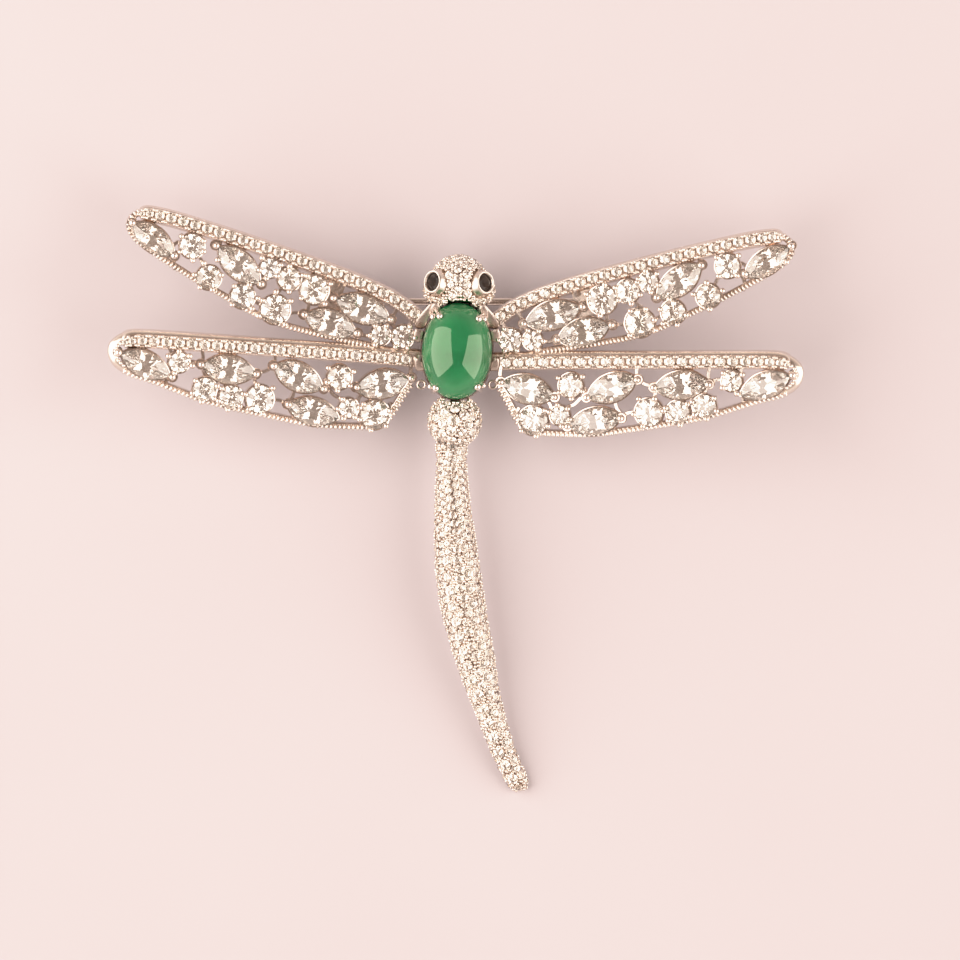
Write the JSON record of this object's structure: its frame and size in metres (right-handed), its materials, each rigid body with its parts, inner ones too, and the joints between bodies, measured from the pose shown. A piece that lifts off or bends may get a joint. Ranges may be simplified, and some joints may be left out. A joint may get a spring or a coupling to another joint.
{
  "type": "dragonfly brooch",
  "caption": "Dragonfly brooch with a green oval cabochon thorax, openwork wings of clear marquise and round stones, paved rails, a curved tail and a straight pin with a catch.",
  "frame": {"origin": "centre of the bounding box in plan, on the surface that the brooch lies on", "axes": "+Z out of the front of the brooch, +Y towards the head, +X along the wing span to the right as seen from the front"},
  "size_m": [0.0696, 0.0588, 0.0109],
  "materials": {
    "plated_metal": "polished rhodium-coloured plating",
    "green_stone": "polished opaque green cabochon",
    "dark_stone": "polished black stone",
    "clear_marquise": "faceted clear stone",
    "clear_round": "faceted clear stone",
    "pin_metal": "polished plating"
  },
  "bodies": {
    "root": {"frame": "plated_metal", "cabochon": "green_stone", "eye_left": "dark_stone", "eye_right": "dark_stone", "fore_left_marquise_1": "clear_marquise", "fore_left_marquise_2": "clear_marquise", "fore_left_marquise_3": "clear_marquise", "fore_left_marquise_4": "clear_marquise", "fore_right_marquise_1": "clear_marquise", "fore_right_marquise_2": "clear_marquise", "fore_right_marquise_3": "clear_marquise", "fore_right_marquise_4": "clear_marquise", "hind_left_marquise_1": "clear_marquise", "hind_left_marquise_2": "clear_marquise", "hind_left_marquise_3": "clear_marquise", "hind_left_marquise_4": "clear_marquise", "hind_left_marquise_5": "clear_marquise", "hind_right_marquise_1": "clear_marquise", "hind_right_marquise_2": "clear_marquise", "hind_right_marquise_3": "clear_marquise", "hind_right_marquise_4": "clear_marquise", "hind_right_marquise_5": "clear_marquise", "fore_left_rounds": "clear_round", "fore_right_rounds": "clear_round", "hind_left_rounds": "clear_round", "hind_right_rounds": "clear_round", "pin": "pin_metal", "catch": "pin_metal"}
  },
  "joints": []
}
